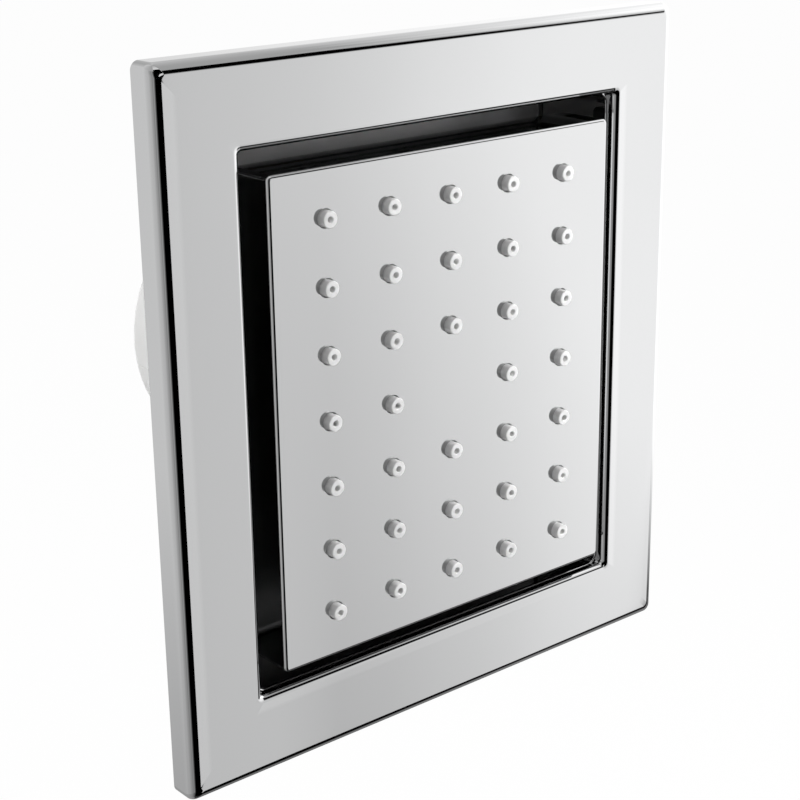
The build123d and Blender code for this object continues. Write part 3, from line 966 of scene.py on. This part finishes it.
# a panel's stations: azimuth, foot, foot fade, level at the foot, level, level at the head, head fade, head
panels = {
    "soft_light": {"reach": 1.14, "stations": [
        (27.3, -52, 30, 0.88, 0.95, 0.1, 6, 9),
        (30, -50, 38, 0.88, 0.99, 0.1, 6, 10),
        (33, -44, 34, 0.90, 1.04, 0.1, 6, 11),
        (36, -38, 30, 0.77, 1.12, 0.12, 6, 11.5),
        (38.5, -37.5, 29.5, 0.80, 1.23, 0.15, 6, 12),
        (40.6, -37, 29, 0.88, 1.35, 0.15, 6, 12.5),
        (42.5, -36.8, 28.8, 0.94, 1.43, 0.15, 6, 13),
        (44.3, -36.5, 27.5, 1.02, 1.51, 0.15, 7, 13.5),
        (46, -36.3, 24, 1.13, 1.55, 0.15, 8, 14),
        (48, -36, 19, 1.2, 1.57, 0.15, 8, 14.5),
        (49.4, -36, 17, 1.2, 1.57, 0.15, 8, 14.8),
        (51.5, -31, 7, 0.3, 1.57, 0.15, 8, 15),
        (56, -27, 6, 0.25, 1.62, 0.4, 8, 17),
        (59, -26, 6, 0.25, 1.7, 0.8, 8, 22),
        (60.5, -26, 6, 0.25, 1.72, 0.7, 13, 48),
        (64, -26, 6.5, 0.25, 1.8, 0.75, 14, 50),
        (74, -26, 7, 0.22, 2.2, 0.7, 16, 55),
        (86, -26, 7, 0.22, 2.5, 0.65, 22, 57),
        (100, -26, 7, 0.22, 2.5, 0.7, 20, 56),
        (114, -26.5, 8, 0.22, 2.2, 0.7, 26, 56),
        (124, -29, 11, 0.24, 1.82, 0.76, 26, 52),
        (132, -33, 16, 0.25, 1.65, 0.85, 24, 46),
        (139, -34, 18, 0.30, 1.53, 0.85, 18, 40),
        (146, -34, 20, 0.40, 1.33, 0.8, 14, 36),
        (153, -32, 18, 0.60, 1.15, 0.8, 12, 34)]},
    "upper_light": {"reach": 1.16, "stations": [
        (44, 30, 4, 0.3, 0.6, 0.6, 4, 42),
        (48, 24, 9, 0.15, 0.78, 0.62, 5, 43),
        (52, 22, 9, 0.3, 1.08, 0.65, 6, 44),
        (56, 20, 8, 0.6, 1.25, 0.65, 8, 46),
        (60.5, 18, 6, 1.0, 1.4, 0.7, 10, 48)]},
    "front_flag": {"reach": 1.2, "stations": [
        (-26, -70, 1, 0, 0, 0, 1, 6),
        (26, -70, 1, 0, 0, 0, 1, 6),
        (29, -70, 1, 0, 0, 0, 1, 35),
        (62, -70, 1, 0, 0, 0, 1, 35)]},
    "corner_flag": {"reach": 1.22, "stations": [
        (-26, 4, 1, 0, 0, 0, 1, 46),
        (6, 4, 1, 0, 0, 0, 1, 46),
        (12, 14, 1, 0, 0, 0, 1, 46),
        (27, 16, 1, 0, 0, 0, 1, 46)]},
    "left_card": {"reach": 1.2, "stations": [
        (-180, -34, 14, 0.66, 1.02, 1.0, 4, 30),
        (-126, -34, 14, 0.66, 1.0, 1.0, 4, 30),
        (-108, -36, 12, 0.63, 0.9, 0.9, 4, 32),
        (-96, -36, 12, 0.54, 0.85, 0.85, 4, 34),
        (-78, -36, 12, 0.54, 0.79, 0.8, 4, 34),
        (-66, -36, 12, 0.45, 0.6, 0.6, 4, 34),
        (-54, -36, 12, 0.38, 0.5, 0.5, 4, 34),
        (-48, -36, 12, 0.3, 0.36, 0.4, 4, 34),
        (-42, -36, 12, 0.4, 0.57, 0.5, 4, 34),
        (-36, -36, 12, 0.2, 0.3, 0.3, 4, 34),
        (-30, -36, 12, 0.08, 0.09, 0.1, 4, 34),
        (-26, -36, 12, 0, 0, 0, 4, 34)]},
    "under_card": {"reach": 1.26, "stations": [
        (-180, -89, 40, 0.5, 0.62, 0.62, 2, -24),
        (-100, -89, 40, 0.45, 0.54, 0.54, 2, -24),
        (-60, -89, 40, 0.3, 0.42, 0.42, 2, -24),
        (-26, -89, 40, 0.05, 0.08, 0.08, 2, -24),
        (30, -89, 40, 0.02, 0.03, 0.03, 2, -24),
        (62, -89, 40, 0.02, 0.03, 0.03, 2, -24),
        (75, -89, 40, 0.05, 0.28, 0.2, 16, -22),
        (88, -89, 40, 0.12, 0.44, 0.2, 18, -22),
        (98, -89, 40, 0.16, 0.48, 0.2, 18, -22),
        (106, -89, 40, 0.16, 0.4, 0.2, 18, -22),
        (118, -89, 40, 0.16, 0.28, 0.22, 16, -22),
        (130, -89, 40, 0.16, 0.2, 0.2, 2, -24),
        (142, -89, 40, 0.18, 0.22, 0.22, 2, -24),
        (160, -89, 40, 0.35, 0.5, 0.5, 2, -24),
        (180, -89, 40, 0.5, 0.62, 0.62, 2, -24)]},
    "top_card": {"reach": 1.26, "stations": [
        (-180, 24, 2, 0.7, 0.7, 0.7, 2, 89),
        (-150, 28, 2, 1.0, 1.0, 0.9, 2, 89),
        (-100, 32, 2, 0.8, 0.8, 0.8, 2, 89),
        (-28, 32, 2, 0.6, 0.6, 0.6, 2, 89),
        (-26, 4, 2, 1.2, 1.2, 0.6, 40, 89),
        (26, 4, 2, 1.2, 1.2, 0.6, 40, 89),
        (30, 32, 2, 0.6, 0.6, 0.6, 2, 89),
        (62, 32, 2, 0.62, 0.62, 0.62, 2, 89),
        (80, 36, 2, 0.66, 0.66, 0.66, 2, 89),
        (100, 36, 2, 0.72, 0.72, 0.7, 2, 89),
        (125, 32, 2, 0.8, 0.8, 0.75, 2, 89),
        (140, 26, 2, 0.95, 0.95, 0.8, 2, 89),
        (158, 22, 2, 0.85, 0.85, 0.75, 2, 89),
        (180, 24, 2, 0.7, 0.7, 0.7, 2, 89)]},
}


def seenDirectly(tree):
    # 1 for the camera and for what shows in metal or glass, 0 for light
    ray = addNode(tree, "ShaderNodeLightPath")
    shiny = mathNode(tree, "MAXIMUM", ray.outputs["Is Glossy Ray"], ray.outputs["Is Transmission Ray"])
    return mathNode(tree, "MAXIMUM", ray.outputs["Is Camera Ray"], shiny)


def makeWorld(setup):
    world = bpy.data.worlds.new("whiteSurround")
    world.use_nodes = True
    tree = world.node_tree
    surround = tree.nodes["Background"]
    surround.inputs["Color"].default_value = grey(1.0)
    strength = spreadNode(tree, seenDirectly(tree), 0.0, 1.0)
    strength.inputs["To Min"].default_value = setup["surroundLight"]
    tree.links.new(strength.outputs["Result"], surround.inputs["Strength"])
    scene.world = world


def makeFloor(setup):
    half, height = setup["floorHalf"], cadLow.z - setup["floorDrop"]
    mesh = bpy.data.meshes.new("pale_floor")
    corners = [(-half, -half, height), (half, -half, height), (half, half, height), (-half, half, height)]
    mesh.from_pydata(corners, [], [(0, 1, 2, 3)])
    floor = bpy.data.objects.new("pale_floor", mesh)
    scene.collection.objects.link(floor)
    material = bpy.data.materials.new("paleFloor")
    material.use_nodes = True
    tree = material.node_tree
    tree.nodes.clear()
    leave = addNode(tree, "ShaderNodeOutputMaterial")
    diffuse = addNode(tree, "ShaderNodeBsdfDiffuse")
    diffuse.inputs["Color"].default_value = grey(setup["floorTone"])
    white = addNode(tree, "ShaderNodeEmission")
    blend = addNode(tree, "ShaderNodeMixShader")
    tree.links.new(mathNode(tree, "MULTIPLY", seenDirectly(tree), setup["floorWhite"]), blend.inputs[0])
    tree.links.new(diffuse.outputs[0], blend.inputs[1])
    tree.links.new(white.outputs[0], blend.inputs[2])
    tree.links.new(blend.outputs[0], leave.inputs["Surface"])
    mesh.materials.append(material)
    floor.visible_glossy = False


def makeLamp(name, lamp):
    data = bpy.data.lights.new(name, "AREA")
    data.shape = "DISK"
    data.size = lamp["size"]
    data.energy = lamp["power"]
    light = bpy.data.objects.new(name, data)
    scene.collection.objects.link(light)
    away = directionOf(lamp["azimuth"], lamp["elevation"])
    light.location = away * lamp["distance"]
    light.rotation_mode = "QUATERNION"
    light.rotation_quaternion = (-away).to_track_quat("-Z", "Y")
    light.visible_glossy = False
    light.visible_camera = False


def makePanelGlow():
    material = bpy.data.materials.new("panelGlow")
    material.use_nodes = True
    tree = material.node_tree
    tree.nodes.clear()
    level = addNode(tree, "ShaderNodeAttribute", attribute_name="glow")
    shine = addNode(tree, "ShaderNodeEmission")
    leave = addNode(tree, "ShaderNodeOutputMaterial")
    tree.links.new(level.outputs["Fac"], shine.inputs["Strength"])
    tree.links.new(shine.outputs[0], leave.inputs["Surface"])
    return material


def panelColumns(stations, step):
    for here, there in zip(stations, stations[1:]):
        count = max(1, math.ceil((there[0] - here[0]) / step))
        for k in range(count):
            yield [a + (b - a) * k / count for a, b in zip(here, there)]
    yield list(stations[-1])


def makePanel(name, panel, material, rows=64, step=1.5):
    verts, faces, glow = [], [], []
    columns = list(panelColumns(panel["stations"], step))
    for azimuth, foot, footFade, footLevel, level, headLevel, headFade, head in columns:
        for row in range(rows + 1):
            elevation = foot + (head - foot) * row / rows
            verts.append(directionOf(azimuth, elevation) * panel["reach"])
            low = max(0, 1 - (elevation - foot) / footFade)
            high = max(0, 1 - (head - elevation) / headFade)
            glow.append(level + (footLevel - level) * low + (headLevel - level) * high)
    for k in range(len(columns) - 1):
        for row in range(rows):
            first = k * (rows + 1) + row
            faces.append((first, first + 1, first + rows + 2, first + rows + 1))
    mesh = bpy.data.meshes.new(name)
    mesh.from_pydata(verts, [], faces)
    mesh.attributes.new("glow", "FLOAT", "POINT").data.foreach_set("value", glow)
    mesh.materials.append(material)
    card = bpy.data.objects.new(name, mesh)
    scene.collection.objects.link(card)
    card.visible_camera = False
    card.visible_diffuse = False
    card.visible_shadow = False


makeWorld(stageSetup)
makeFloor(stageSetup)
for name, lamp in lamps.items():
    makeLamp(name, lamp)
panelGlow = makePanelGlow()
for name, panel in panels.items():
    makePanel(name, panel, panelGlow)
scene.view_settings.view_transform = "Standard"
print("stage set")
